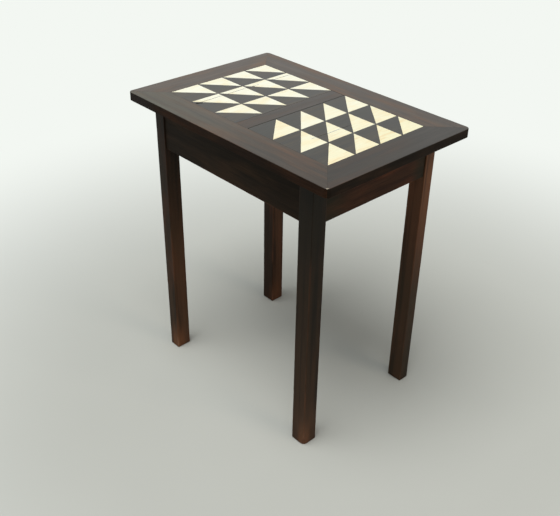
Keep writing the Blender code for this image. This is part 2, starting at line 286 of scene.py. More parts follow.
# Layers that darken a leg towards the top are partly grime and partly painted shade under the overhang of the
# top. The brown layer low on the front right leg is painted light: a paler foot below that shade. The grey
# layer on the back right leg darkens that leg towards the foot.
leg_grime_and_shade = {
    "front_left": [(0.62, 2, 0.18, 0.58, shade_and_grime_black)],
    "front_right": [(0.62, 2, 0.05, 0.60, shade_and_grime_black), (0.27, 2, 0.14, 0.05, "#523c2e")],
    "back_right": [(0.42, 2, 0.54, 0.60, shade_and_grime_black), (0.50, 2, 0.48, 0.22, shade_and_grime_grey)],
    "back_left": [(0.20, 2, 0.30, 0.62, shade_and_grime_black)],
}
kicked_places = {
    "front_left": (-0.217, -0.170, 26 * mm, 0.72), "front_right": (0.242, -0.174, 25 * mm, 0.72),
    "back_right": (0.242, 0.147, 20 * mm, 0.20), "back_left": (-0.206, 0.150, 26 * mm, 0.25),
}
# The long aprons' colours are darker than the legs', and the short aprons' are lighter and redder. This is
# partly the wood's own tone, partly painted shade under the overhang in front and painted light on the lit
# right side. The short aprons are also drawn darker at both ends by the legs: painted shade.
long_apron_shaded_colours = ("#201911", "#2b221a", "#36281c")
short_apron_lit_colours = ("#33221a", "#422d21", "#573525")
short_apron_end_shade = [(0.60, 1, -0.06, -0.13, shade_and_grime_grey), (0.60, 1, 0.10, 0.135, shade_and_grime_grey)]
long_rim_colours = ("#1d1610", "#291e17", "#362419")
short_rim_colours = ("#1e1914", "#2a221b", "#35271d")
long_rim_grime = [(0.85, 0, -0.18, -0.25, "#292422")]

# Each box reaches past the ends of its piece, so that only the arrises along the grain count as worn.
below_floor, above_top = -0.1, 0.8
apron_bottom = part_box("apron_front")[0].z
long_apron_box = (-1, 0.153, apron_bottom), (1, 0.171, above_top)
short_apron_box = (0.221, -1, apron_bottom), (0.239, 1, above_top)
far_away = (-9, -9, -9), (9, 9, 9)

leg_wood = {}
for number, (corner, colours) in enumerate(leg_colours.items()):
    low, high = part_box(f"leg_{corner}")
    sides = [sorted((abs(low[i]), abs(high[i]))) for i in (0, 1)]
    box = (sides[0][0], sides[1][0], below_floor), (sides[0][1], sides[1][1], above_top)
    leg_wood[corner] = stained_beech(
        f"stained_beech_leg_{corner}", 2, colours, 0.07, box, 3.1 + 5 * number,
        leg_grime_and_shade[corner], kicked_places[corner],
    )
apron_wood_x = stained_beech("stained_beech_long_aprons", 0, long_apron_shaded_colours, 0.035, long_apron_box, 6.3)
apron_wood_y = stained_beech(
    "stained_beech_short_aprons", 1, short_apron_lit_colours, 0.03, short_apron_box, 9.7, short_apron_end_shade,
)
rim_wood_x = stained_beech("stained_long_rims", 0, long_rim_colours, 0.025, far_away, 13.9, long_rim_grime)
rim_wood_y = stained_beech("stained_short_rims", 1, short_rim_colours, 0.025, far_away, 17.2)
print("stained wood: one finish for each of", len(leg_wood), "legs, and two each for aprons and rims")

# %% [markdown]
# The frame round the inlay and the strip between the panels are the same dark wood, lacquered and rubbed
# smooth, so they mirror a soft light from the room as a grey sheen. The brown shows through it in long
# streaks, most of all on the front board, where wrists have rested and worn the stain thin. The left part
# of that board is painted a greyer olive: a painted sheen, for its brighter reflection there. Otherwise
# the sheen is left to the shader; the nodes give colour, fibres and a slightly uneven gloss.

# %% Polished wood of the frame
top_low, top_high = Vector(cad_box[0]), Vector(cad_box[1])
top_low.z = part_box("border_front")[0].z
nowhere, no_painted_sheen = (0.0, 0.0, 9.0), (0.0, 0.0, 1.0)


def polished_wood(name, axis, colours, gloss, shift, arris_wear=0.5, warm_place=nowhere, painted_sheen=no_painted_sheen):
    """Stained and polished wood. The red shows most about the warm place.

    The painted sheen is an amount and the places along the board where it starts and is full.
    """
    dark, middle, red = colours
    finish, coordinates = new_finish(name)
    bands = streaks(finish, coordinates, axis, 330 * mm, 9 * mm, shift, detail=3.0, distortion=0.5)
    clouds = streaks(finish, coordinates, axis, 210 * mm, 22 * mm, shift + 5)
    fibres = streaks(finish, coordinates, axis, 50 * mm, 1.5 * mm, shift + 9)
    pores = streaks(finish, coordinates, axis, 10 * mm, 0.7 * mm, shift + 13, detail=1.0)
    from_warm = add_node(finish, "VectorMath", {0: coordinates, 1: warm_place}, operation="SUBTRACT")
    stretched = add_node(finish, "VectorMath", {
        0: from_warm, 1: along(axis, 230 * mm, 26 * mm),
    }, operation="MULTIPLY")
    distance = add_node(finish, "VectorMath", {0: stretched}, operation="LENGTH")
    warmer = masked(finish, 0.20, (distance, 1.0, 0.1))
    glow = add_node(finish, "Math", {0: warmer, 1: clouds}, operation="ADD")
    place = add_node(finish, "SeparateXYZ", {0: coordinates}).outputs[axis]
    arris = arris_mask(finish, coordinates, (top_low, top_high), band=2.5 * mm)
    wood = coat(finish, linear(dark), middle, (bands, 0.34, 0.64))
    wood = coat(finish, wood, red, (glow, 0.44, 0.76))
    # Painted sheen: a greyer olive over part of the board, for its brighter reflection there.
    wood = coat(finish, wood, "#535345", (place, *painted_sheen[1:]), (bands, 0.15, 0.60), amount=painted_sheen[0])
    wood = coat(finish, wood, "#bcb3aa", (fibres, 0.70, 0.30), amount=0.8, mode="MULTIPLY")
    wood = coat(finish, wood, "#1c130e", (pores, 0.66, 0.76))
    wood = coat(finish, wood, "#6d4a38", arris, (glow, 0.40, 0.62), amount=arris_wear)
    return joined_to_shader(finish, {
        "Base Color": wood, "Specular IOR Level": gloss,
        "Roughness": add_node(finish, "MapRange", {
            "Value": clouds, "From Min": 0.3, "From Max": 0.7, "To Min": 0.30, "To Max": 0.42,
        }),
        "Normal": grain_bump(finish, fibres, pores, pore_edge=0.62, depth=0.08 * mm, strength=0.5),
    })


frame_wood = {
    "front": polished_wood(
        "polished_wood_front", 0, ("#2a231a", "#3c3024", "#5a402c"), 0.53, 2.2,
        warm_place=(-0.07, -0.146, top_high.z), painted_sheen=(0.70, 0.20, -0.26),
    ),
    "back": polished_wood("polished_wood_back", 0, ("#33281d", "#463727", "#63472f"), 0.55, 7.9),
    "left": polished_wood("polished_wood_left", 1, ("#3a2e21", "#4d3d2d", "#694e35"), 0.58, 11.4),
    "right": polished_wood(
        "polished_wood_right", 1, ("#201c16", "#2c261f", "#433226"), 0.48, 15.8, arris_wear=0.1,
    ),
}
strip_wood = polished_wood("polished_wood_strip", 1, ("#2a221a", "#362c23", "#4e3a2a"), 0.59, 19.1)
print("polished wood:", sorted(frame_wood), "and the centre strip")

# %% [markdown]
# The dark fields are close-grained wood dyed charcoal black and polished level with the cream triangles.
# Whatever lies under the polished face, such as the joints and cracks, is drawn nearly black.

# %% Dyed wood of the dark fields
face_level = top_high.z


def dyed_wood(name, cool, warm, gloss, shift):
    finish, coordinates = new_finish(name)
    bands = streaks(finish, coordinates, 1, 180 * mm, 7 * mm, shift, detail=3.0, distortion=0.3)
    fibres = streaks(finish, coordinates, 1, 40 * mm, 1.2 * mm, shift + 3)
    clouds = streaks(finish, coordinates, 1, 120 * mm, 45 * mm, shift + 6, detail=1.0)
    height = add_node(finish, "SeparateXYZ", {0: coordinates}).outputs["Z"]
    sunk = masked(finish, 1.0, (height, face_level - 0.05 * mm, face_level - 0.5 * mm))
    wood = coat(finish, linear(cool), warm, (clouds, 0.36, 0.68))
    wood = coat(finish, wood, "#21201c", (bands, 0.66, 0.32))
    wood = coat(finish, wood, "#a9a6a1", (fibres, 0.70, 0.30), amount=0.8, mode="MULTIPLY")
    # Everything below the polished face is drawn nearly black.
    wood = coat(finish, wood, "#120d0a", sunk)
    even = add_node(finish, "MapRange", {
        "Value": bands, "From Min": 0.3, "From Max": 0.7, "To Min": 0.32, "To Max": 0.42,
    })
    return joined_to_shader(finish, {
        "Base Color": wood, "Specular IOR Level": gloss,
        "Roughness": add_node(finish, "Math", {0: even, 1: sunk}, operation="ADD", use_clamp=True),
        "Normal": add_node(finish, "Bump", {"Height": fibres, "Distance": 0.06 * mm, "Strength": 0.5}),
    })


dark_wood = {
    # The left field is drawn a little lighter than the right: painted sheen, for the brighter reflection on
    # that side.
    "left": dyed_wood("dyed_wood_left", "#3a3832", "#4a4031", 0.76, 4.4),
    "right": dyed_wood("dyed_wood_right", "#353631", "#413b2f", 0.65, 8.6),
}
print("dyed wood finishes:", len(dark_wood))

# %% [markdown]
# The cream triangles are pale maple under a clear polish that has yellowed. Each was sawn from another
# bit of board, so each has its own tone, kept on the mesh as an attribute named tone: 0 is a pale
# yellowish white and 1 is warmer, with light orange streaks along the grain.

# %% Maple of the cream triangles
def polished_maple(name, shift):
    finish, coordinates = new_finish(name)
    tone = add_node(finish, "Attribute", attribute_name="tone").outputs["Fac"]
    streak = streaks(finish, coordinates, 1, 60 * mm, 7 * mm, shift, detail=3.0, distortion=1.0)
    cloud = streaks(finish, coordinates, 1, 45 * mm, 22 * mm, shift + 2, detail=1.0)
    fibres = streaks(finish, coordinates, 1, 22 * mm, 0.9 * mm, shift + 6)
    height = add_node(finish, "SeparateXYZ", {0: coordinates}).outputs["Z"]
    wood = coat(finish, linear("#f9f9e6"), "#f4eec0", tone)
    wood = coat(finish, wood, "#f8efca", (cloud, 0.40, 0.80))
    wood = coat(finish, wood, "#efd5a0", (streak, 0.46, 0.74), tone)
    wood = coat(finish, wood, "#f9f5ec", (fibres, 0.60, 0.28), amount=0.8, mode="MULTIPLY")
    wood = coat(finish, wood, "#35281c", (height, face_level - 0.04 * mm, face_level - 0.22 * mm))
    return joined_to_shader(finish, {
        "Base Color": wood,
        "Roughness": add_node(finish, "MapRange", {
            "Value": cloud, "From Min": 0.3, "From Max": 0.7, "To Min": 0.34, "To Max": 0.44,
        }),
        "Normal": add_node(finish, "Bump", {"Height": fibres, "Distance": 0.05 * mm, "Strength": 0.4}),
    })


cream_wood = polished_maple("polished_maple", 5.5)
print("cream finish:", cream_wood.name)

# %% [markdown]
# Under the top nobody stained the wood. The corner blocks and cleats are sawn pine, pale yellow brown
# with darker late-wood rings, and the core board is glued up from strips of the same. Rings are a real
# ring pattern about the trunk, set far to one side so that they cross the piece as gentle curves. Where
# the core board shows outside the short aprons, the brush has carried the dark stain over it.

# %% Raw pine of the blocks, cleats and core board
def sawn_pine(name, axis, pale, dark, ring_centre, shift, stained_past=9.0):
    """Sawn pine. Past this distance from the middle, along X, it carries the stain of the outside."""
    finish, coordinates = new_finish(name)
    trunk = add_node(finish, "Mapping", {"Vector": coordinates, "Location": ring_centre})
    # A ring pattern repeats every 0.314 of its own length, so this scale sets the rings 4.5 mm apart.
    late_wood = add_node(finish, "TexWave", {
        "Vector": trunk, "Scale": 0.314 / (4.5 * mm), "Distortion": 2.2, "Detail": 2.0, "Detail Scale": 0.25,
    }, wave_type="RINGS", rings_direction="XYZ"[axis])
    fibres = streaks(finish, coordinates, axis, 35 * mm, 1.1 * mm, shift)
    blotches = streaks(finish, coordinates, axis, 80 * mm, 30 * mm, shift + 3, detail=1.0)
    across = add_node(finish, "SeparateXYZ", {0: coordinates}).outputs["X"]
    from_middle = add_node(finish, "Math", {0: across}, operation="ABSOLUTE")
    ragged = add_node(finish, "Math", {0: fibres, 1: 9 * mm, 2: from_middle}, operation="MULTIPLY_ADD")
    wood = coat(finish, linear(pale), dark, (late_wood, 0.45, 0.95))
    wood = coat(finish, wood, "#cdc0b0", (fibres, 0.70, 0.30), amount=0.85, mode="MULTIPLY")
    wood = coat(finish, wood, "#7f5f3f", (blotches, 0.5, 0.8), amount=0.6)
    wood = coat(finish, wood, "#2a1f17", (ragged, stained_past, stained_past + 2 * mm))
    return joined_to_shader(finish, {
        "Base Color": wood, "Specular IOR Level": 0.3,
        "Roughness": add_node(finish, "MapRange", {"Value": fibres, "To Min": 0.66, "To Max": 0.84}),
        "Normal": add_node(finish, "Bump", {"Height": fibres, "Distance": 0.25 * mm, "Strength": 0.8}),
    })


pine_x = sawn_pine("sawn_pine_blocks", 0, "#c9a56f", "#a67a48", (0, 0.31, -0.52), 3.3)
pine_y = sawn_pine("sawn_pine_board", 1, "#b8945f", "#94693c", (0.05, 0, -0.47), 7.7, 0.230)
print("raw pine finishes:", pine_x.name, pine_y.name)

# %% [markdown]
# The screws are zinc-plated steel with a slotted countersunk head. The plating has dulled unevenly, and
# where damp wood has eaten through it there is a little brown rust, which is rough and not metallic.

# %% Steel of the screws
def old_steel(name):
    finish, coordinates = new_finish(name)
    rust = add_node(finish, "TexNoise", {
        "Vector": coordinates, "Scale": 1 / (2.5 * mm), "Detail": 4.0, "Roughness": 0.65,
    })
    scratches = add_node(finish, "TexNoise", {"Vector": coordinates, "Scale": 1 / (0.6 * mm), "Detail": 2.0})
    rusted = masked(finish, 1.0, (rust, 0.52, 0.66))
    steel = coat(finish, linear("#8f8c86"), "#b6b3ac", scratches)
    return joined_to_shader(finish, {
        "Base Color": coat(finish, steel, "#5d3b27", rusted),
        "Metallic": add_node(finish, "MapRange", {"Value": rusted, "To Min": 1.0, "To Max": 0.15}),
        "Roughness": add_node(finish, "MapRange", {"Value": rusted, "To Min": 0.34, "To Max": 0.8}),
        "Normal": add_node(finish, "Bump", {"Height": rust, "Distance": 0.08 * mm, "Strength": 0.6}),
    })


screw_steel = old_steel("old_steel")
print("steel finish:", screw_steel.name)

# %% [markdown]
# Pieces are modelled with Blender's own operators, as one would by hand. An operator works on whatever
# is selected, so the helpers below first deselect everything, then open one piece in edit mode and select
# its edges or faces by a test on their place.

# %% Helpers for modelling
def close_piece():
    if bpy.context.mode != "OBJECT":
        bpy.ops.object.mode_set(mode="OBJECT")
    bpy.ops.object.select_all(action="DESELECT")


def hold(piece):
    """Makes the piece the only one selected."""
    close_piece()
    piece.select_set(True)
    bpy.context.view_layer.objects.active = piece


def settle():
    """Writes the place, turn and size of the selected piece into its mesh."""
    bpy.ops.object.transform_apply(location=True, rotation=True, scale=True)


def block(name, low, high):
    """A block of wood between two corners."""
    close_piece()
    low, high = Vector(low), Vector(high)
    bpy.ops.mesh.primitive_cube_add(size=1, location=(low + high) / 2, scale=high - low)
    settle()
    piece = bpy.context.object
    piece.name = piece.data.name = name
    return piece


def pick(piece, kind, test):
    """Opens the piece in edit mode with the edges or faces selected that pass the test."""
    hold(piece)
    bpy.ops.object.mode_set(mode="EDIT")
    bpy.ops.mesh.select_mode(type={"edges": "EDGE", "faces": "FACE"}[kind])
    bpy.ops.mesh.select_all(action="DESELECT")
    shape = bmesh.from_edit_mesh(piece.data)
    for part in [part for part in getattr(shape, kind) if test(part)]:
        part.select_set(True)
    bmesh.update_edit_mesh(piece.data)


def lies_at(part, axis, value):
    """True where all corners of an edge or face have this coordinate."""
    return all(abs(corner.co[axis] - value) < 0.01 * mm for corner in part.verts)


def runs_along(edge, axis):
    start, end = (corner.co for corner in edge.verts)
    return abs(abs((end - start).normalized()[axis]) - 1) < 0.001


def ease(piece, test, width, segments=3):
    """Rounds the edges that pass the test."""
    pick(piece, "edges", test)
    bpy.ops.mesh.bevel(offset=width, segments=segments, affect="EDGES")
    close_piece()


def saw(piece, place, normal, keep_all=False):
    """Cuts the piece with a plane. The side that the normal points to falls off, unless all is kept."""
    pick(piece, "faces", lambda face: True)
    bpy.ops.mesh.bisect(plane_co=place, plane_no=normal, use_fill=not keep_all, clear_outer=not keep_all)
    close_piece()


def rings(piece, axis, low, high, spacing):
    """Cuts rings round the piece at even steps, so that its arrises have points to wear away."""
    normal = [float(index == axis) for index in range(3)]
    count = max(2, round((high - low) / spacing))
    for step in range(1, count):
        place = [0.0, 0.0, 0.0]
        place[axis] = low + (high - low) * step / count
        saw(piece, place, normal, keep_all=True)


def carve(piece, *tools):
    """Takes the tools' shapes out of the piece and throws the tools away."""
    for tool in tools:
        hold(piece)
        cut = piece.modifiers.new("cut", "BOOLEAN")
        cut.operation, cut.solver, cut.object = "DIFFERENCE", "EXACT", tool
        bpy.ops.object.modifier_apply(modifier=cut.name)
        bpy.data.objects.remove(tool)


def push(piece, size, strength, middle, direction="NORMAL", group=""):
    """Moves points along a direction by the strength times the value of a cloud, less the middle one."""
    clouds = bpy.data.textures.new("clouds", "CLOUDS")
    clouds.noise_scale = size
    hold(piece)
    moved = piece.modifiers.new("push", "DISPLACE")
    moved.texture, moved.texture_coords, moved.vertex_group = clouds, "LOCAL", group
    moved.strength, moved.mid_level, moved.direction = strength, middle, direction
    bpy.ops.object.modifier_apply(modifier=moved.name)


def rub(piece, test, depth, size):
    """Wears the points that pass the test back into the wood, unevenly."""
    group = piece.vertex_groups.new(name="worn")
    group.add([point.index for point in piece.data.vertices if test(point.co)], 1.0, "REPLACE")
    push(piece, size, -depth, middle=0.0, group=group.name)
    piece.vertex_groups.clear()


def copy_of(piece, name):
    hold(piece)
    bpy.ops.object.duplicate(linked=False)
    copied = bpy.context.object
    copied.name = copied.data.name = name
    return copied


def merged_copy(node, name):
    """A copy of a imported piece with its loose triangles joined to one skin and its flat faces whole."""
    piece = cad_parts[node].copy()
    piece.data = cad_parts[node].data.copy()
    bpy.context.scene.collection.objects.link(piece)
    piece.parent = None
    for key in list(piece.keys()):
        del piece[key]
    piece.name = piece.data.name = name
    pick(piece, "faces", lambda face: True)
    bpy.ops.mesh.remove_doubles(threshold=0.01 * mm)
    bpy.ops.mesh.dissolve_limited(angle_limit=math.radians(1))
    close_piece()
    return piece


def finish_piece(piece, finish, slot, *nodes, rim=None):
    """Smooths the rounded arrises, gives the finish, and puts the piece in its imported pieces' place."""
    hold(piece)
    bpy.ops.object.shade_smooth_by_angle(angle=math.radians(40))
    even = piece.modifiers.new("flat faces stay flat", "WEIGHTED_NORMAL")
    even.keep_sharp = True
    bpy.ops.object.modifier_apply(modifier=even.name)
    piece.data.materials.clear()
    piece.data.materials.append(finish)
    if rim:
        piece.data.materials.append(rim)
        for face in piece.data.polygons:
            face.material_index = int(face.normal.z < 0.6)
    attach(piece, "root")
    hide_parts(*nodes)
    close_piece()


print("modelling helpers are ready")

# %% [markdown]
# A leg is a straight post, planed by hand to its own section, with its long arrises eased and its foot
# rounded by years of being pushed about. Each is modelled from a block: first the foot's edges are
# rounded, then the long arrises down to the floor. The front right foot has its outer corner kicked
# blunt. Rings cut round a leg give its arrises points, which are then rubbed back unevenly.

# %% Legs
leg_boxes = {corner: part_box(f"leg_{corner}") for corner in leg_wood}
leg_top = leg_boxes["front_left"][1].z


def is_leg_arris(edge, middle, half):
    """True for upright arrises, and for the slanting ones that carry them round the foot."""
    if runs_along(edge, 0) or runs_along(edge, 1):
        return False
    return all(
        abs((half.x - abs(end.co.x - middle.x)) - (half.y - abs(end.co.y - middle.y))) < 0.02 * mm
        for end in edge.verts
    )


def near_leg_arris(place, middle, half):
    past = min(abs(place.x - middle.x) - half.x, abs(place.y - middle.y) - half.y)
    return place.z > 0.1 * mm and (past > -2.4 * mm or place.z < 3 * mm)


def mark_fade_and_light(leg, outer, others):
    """Marks how much paler the leg is drawn at top and foot, +X face first: partly faded stain, partly
    painted light.
    """
    fade_and_light = leg.data.attributes.new("fade_and_light", "FLOAT", "CORNER").data
    for face in leg.data.polygons:
        at_top, at_foot = outer if face.normal.x > 0.9 else others
        for index in face.loop_indices:
            point = leg.data.vertices[leg.data.loops[index].vertex_index].co
            fade_and_light[index].value = at_foot + (at_top - at_foot) * (point.z / leg_top) ** 2


def blunt_foot(leg, corner, outward, radius, height):
    """Rounds the outer corner of a foot in plan with three slanting cuts, which run out at the height."""
    outward = Vector((*outward, 0)).normalized()
    centre = Vector((*corner, 0)) - outward * radius * math.sqrt(2)
    for turn in (-24, 0, 24):
        direction = Matrix.Rotation(math.radians(turn), 3, "Z") @ outward
        slope = Vector((0, 0, radius * (math.sqrt(2) - 1) / height))
        saw(leg, centre + direction * radius, direction - slope)


def model_leg(corner):
    low, high = leg_boxes[corner]
    middle, half = (low + high) / 2, (high - low) / 2
    leg = block(f"wooden_leg_{corner}", low, high)
    ease(leg, lambda edge: lies_at(edge, 2, low.z), 2.4 * mm)
    ease(leg, lambda edge: is_leg_arris(edge, middle, half), 1.7 * mm)
    if corner == "front_right":
        blunt_foot(leg, (high.x, low.y), (1, -1), radius=14 * mm, height=30 * mm)
    rings(leg, 2, low.z + 4 * mm, high.z, spacing=16 * mm)
    rub(leg, lambda place: near_leg_arris(place, middle, half), depth=0.55 * mm, size=24 * mm)
    return leg


# How much paler each leg is drawn, for the +X face and then the others, at the top and at the foot. This is
# partly faded stain and partly painted light: the feet are paler below the top's shade, and most +X faces are
# paler on the lit side.
leg_fade_and_light = {
    "front_left": ((0.16, 0.26), (0.00, 0.10)), "front_right": ((0.00, 0.12), (0.00, 0.14)),
    "back_right": ((1.06, 0.04), (0.42, 0.38)), "back_left": ((0.34, 0.22), (0.00, 0.00)),
}
legs = {corner: model_leg(corner) for corner in leg_wood}
for corner, leg in legs.items():
    mark_fade_and_light(leg, *leg_fade_and_light[corner])
    finish_piece(leg, leg_wood[corner], "stained_wood", f"leg_{corner}")
print("legs:", {corner: len(leg.data.polygons) for corner, leg in legs.items()})

# %% [markdown]
# The aprons are planed boards between the legs, set back 3 mm from the legs' faces. Only their lower
# arrises are handled, so those are rounded and rubbed. Each is a block cut in rings along its length.

# %% Aprons
def model_apron(side):
    low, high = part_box(f"apron_{side}")
    axis = 0 if side in ("front", "back") else 1
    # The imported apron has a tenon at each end. The board that shows ends at the legs' inner faces.
    beside = [box for corner, box in leg_boxes.items() if side in corner]
    low[axis] = min(box[1][axis] for box in beside) + 0.2 * mm
    high[axis] = max(box[0][axis] for box in beside) - 0.2 * mm
    board = block(f"wooden_apron_{side}", low, high)
    ease(board, lambda edge: lies_at(edge, 2, low.z) and runs_along(edge, axis), 1.3 * mm)
    rings(board, axis, low[axis], high[axis], spacing=16 * mm)
    rub(board, lambda place: place.z < low.z + 1.5 * mm, depth=0.45 * mm, size=30 * mm)
    return board


apron_wood = {"front": apron_wood_x, "back": apron_wood_x, "left": apron_wood_y, "right": apron_wood_y}
for side, wood in apron_wood.items():
    finish_piece(model_apron(side), wood, "stained_wood", f"apron_{side}")
print("aprons:", len(apron_wood))

# %% [markdown]
# The frame of the top is four boards mitred at the corners. One board of each length is shaped from a
# block: the outer corners are rounded in plan, the outer arrises eased, the upper one more, a rebate cut
# under the inner edge for the core board, and the ends sawn at 45 degrees. The opposite board is the same
# piece turned round. A hairline is eased along each mitre and along the inlay, because that is what makes
# a joint visible.

# %% Frame of the top
border_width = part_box("inlay_panel_left")[0].x - top_low.x - fit
corner_radius = 10 * mm
core_low, core_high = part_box("core_board")


def model_border(side):
    """The front board, or the right one as a board along X that is turned afterwards."""
    half_length = top_high.x if side == "front" else top_high.y
    outer = top_high.y if side == "front" else top_high.x
    inner = outer - border_width
    low, high = Vector((-half_length, -outer, top_low.z)), Vector((half_length, -inner, top_high.z))
    board = block(f"wooden_border_{side}", low, high)
    ease(board, lambda edge: runs_along(edge, 2) and lies_at(edge, 1, -outer), corner_radius, segments=10)
    for level, width in ((high.z, 1.3 * mm), (low.z, 0.6 * mm)):
        ease(board, lambda edge: lies_at(edge, 2, level) and not lies_at(edge, 1, -inner), width)
    rings(board, 0, -half_length + corner_radius, half_length - corner_radius, spacing=14 * mm)
    rebate = core_high.y if side == "front" else core_high.x
    carve(board, block("rebate", (-1, -rebate - fit, 0), (1, 0, core_high.z + fit)))
    for end in (-1, 1):
        saw(board, (end * (half_length - 0.05 * mm), -outer, 0), (end, 1, 0))
    ease(board, lambda edge: on_joint(edge, half_length, outer), 0.12 * mm, segments=2)
    rub(board, lambda place: near_rim(place, half_length, outer), depth=0.35 * mm, size=22 * mm)
    return board


def on_joint(edge, half_length, outer):
    """True for an upper edge on a mitre or along the inlay."""
    on_mitre = all(abs(half_length - abs(end.co.x) - (outer + end.co.y)) < 0.3 * mm for end in edge.verts)
    return lies_at(edge, 2, top_high.z) and (on_mitre or lies_at(edge, 1, border_width - outer))


def near_rim(place, half_length, outer):
    """True along the upper outer arris, which hands touch, and round its corners."""
    at_corner = abs(place.x) > half_length - 11 * mm and place.y < -outer + 6 * mm
    return place.z > top_high.z - 5 * mm and (place.y < -outer + 1.6 * mm or at_corner)


def turned(piece, quarters):
    hold(piece)
    piece.rotation_euler.z = quarters * math.pi / 2
    settle()
    return piece


borders = {"front": model_border("front"), "right": model_border("right")}
borders["back"] = turned(copy_of(borders["front"], "wooden_border_back"), 2)
borders["left"] = turned(copy_of(borders["right"], "wooden_border_left"), 3)
borders["right"] = turned(borders["right"], 1)
print("frame boards modelled:", len(borders))

# %% [markdown]
# At the front right corner a splinter has broken from the arris, and paler wood shows in the break. It is
# cut by a small rough stone: a ball of few faces, pushed into the corner.

# %% Chip at the front right corner
def stone(name, place, size, turn=0.0):
    close_piece()
    bpy.ops.mesh.primitive_ico_sphere_add(
        subdivisions=2, radius=1, location=place, rotation=(0, 0, turn), scale=size,
    )
    settle()
    tool = bpy.context.object
    tool.name = name
    rub(tool, lambda point: True, depth=0.3 * min(size), size=min(size))
    return tool


chip_place = Vector((top_high.x - 3.0 * mm, top_low.y + 3.2 * mm, top_high.z))
chip_size = Vector((2.6, 2.6, 1.1)) * mm
splinter_wood = sawn_pine("splintered_wood", 0, "#aaa394", "#91866f", (0, 0.31, -0.52), 5.1)
rims = {"front": rim_wood_x, "back": rim_wood_x, "left": rim_wood_y, "right": rim_wood_y}
chipped = ("front", "right")
for side in chipped:
    carve(borders[side], stone("chipping_stone", chip_place, chip_size))
for side, board in borders.items():
    finish_piece(board, frame_wood[side], "top_wood", f"border_{side}", rim=rims[side])
for side in chipped:
    board = borders[side]
    board.data.materials.append(splinter_wood)
    for face in board.data.polygons:
        offset = face.center - chip_place
        if Vector([offset[i] / chip_size[i] for i in range(3)]).length < 1.03:
            face.material_index = 2
print("frame boards:", {side: len(board.data.polygons) for side, board in borders.items()})

# %% [markdown]
# The strip between the panels is a plain planed lath. It has shrunk a little, so a dark joint has opened
# beside the right panel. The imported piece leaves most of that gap. Here the strip is half a millimetre
# narrower on that side, and its upper arrises are eased.

# %% Centre strip
strip_low, strip_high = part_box("centre_strip")
strip_high.x -= 0.5 * mm


def near_strip_arris(place):
    return place.z > strip_high.z - 0.4 * mm and abs(place.x) > strip_high.x - 0.5 * mm


strip = block("wooden_centre_strip", strip_low, strip_high)
ease(strip, lambda edge: lies_at(edge, 2, strip_high.z), 0.3 * mm, segments=2)
rings(strip, 1, strip_low.y, strip_high.y, spacing=14 * mm)
rub(strip, near_strip_arris, depth=0.25 * mm, size=12 * mm)
finish_piece(strip, strip_wood, "top_wood", "centre_strip")
print("centre strip:", rounded(strip_high - strip_low))

# %% [markdown]
# A cream triangle is a small tile sawn across its diagonal. One tile is modelled for each panel, because
# the triangles of the right panel lie the other way. It is copied to every packed triangle and stretched
# to its size. Its outline is then nibbled unevenly, as a hand saw leaves it, and its upper arrises eased.

# %% Cream triangles
tile_size = Vector((70 * mm, 65 * mm, 3.5 * mm))
nibble_reach, nibble_size = 0.22 * mm, 5 * mm
warmth = {
    "left": ((0.00, 0.07, 0.03, 0.03), (0.04, 0.07, 0.03, 0.00), (0.16, 0.00, 0.08, 0.09)),
    "right": ((0.43, 0.19, 0.31, 0.25), (0.40, 0.49, 0.52, 0.55), (0.57, 0.58, 0.78, 0.71)),
}


def model_tile(side):
    """A tile from the origin to the tile size, without the half that is sawn away."""
    tile = block(f"tile_{side}", (0, 0, 0), tile_size)
    if side == "left":
        saw(tile, (0, 0, 0), (tile_size.y, -tile_size.x, 0))
    else:
        saw(tile, (tile_size.x, 0, 0), (-tile_size.y, -tile_size.x, 0))
    return tile


def fitted_tile(tile, name, low, high):
    """A copy of the tile, stretched to fill the box between two corners."""
    piece = copy_of(tile, name)
    hold(piece)
    piece.location = low
    piece.scale = [(high[i] - low[i]) / tile_size[i] for i in range(3)]
    settle()
    return piece


def is_upper_arris(edge, level):
    """True where the upper face meets a side, and not for an edge inside the upper face."""
    return lies_at(edge, 2, level) and len({round(face.normal.z, 2) for face in edge.link_faces}) > 1


def model_cream(tile, node, tone):
    low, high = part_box(node)
    piece = fitted_tile(tile, f"wooden_{node}", low, high)
    pick(piece, "edges", lambda edge: not runs_along(edge, 2))
    bpy.ops.mesh.subdivide(number_cuts=13)
    # The clouds lie between 0 and 1, so twice the reach moves a point by up to the reach either way.
    for direction in ("X", "Y"):
        push(piece, nibble_size, 2 * nibble_reach, middle=0.5, direction=direction)
    ease(piece, lambda edge: is_upper_arris(edge, high.z), 0.3 * mm, segments=2)
    values = piece.data.attributes.new("tone", "FLOAT", "POINT").data
    values.foreach_set("value", [tone] * len(values))
    return piece


tiles = {side: model_tile(side) for side in ("left", "right")}
creams = {}
for side, rows in warmth.items():
    for row, tones in enumerate(rows, start=1):
        for column, tone in enumerate(tones, start=1):
            node = f"inlay_{side}_{row}_{column}"
            creams[node] = model_cream(tiles[side], node, tone)
print("cream triangles:", len(creams), "faces each:", len(creams["inlay_left_1_1"].data.polygons))

# %% [markdown]
# A dark field is one board with twelve pockets. Each pocket is cut with the same tile as its triangle,
# grown by a hair on every side, so that a thin dark line stays round the cream wood.

# %% Dark fields
def pocket_tool(side, node):
    """A tile grown evenly by the gap, by stretching it about the centre of its inner circle."""
    low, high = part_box(node)
    run, rise = high.x - low.x, high.y - low.y
    inner = (run + rise - math.hypot(run, rise)) / 2
    centre = Vector((low.x + inner if side == "left" else high.x - inner, high.y - inner, 0))
    grown = 1 + fit / inner
    plan = [[centre[i] + (corner[i] - centre[i]) * grown for i in (0, 1)] for corner in (low, high)]
    below, above = low.z - fit, high.z + 1 * mm
    return fitted_tile(tiles[side], "pocket_tool", Vector((*plan[0], below)), Vector((*plan[1], above)))


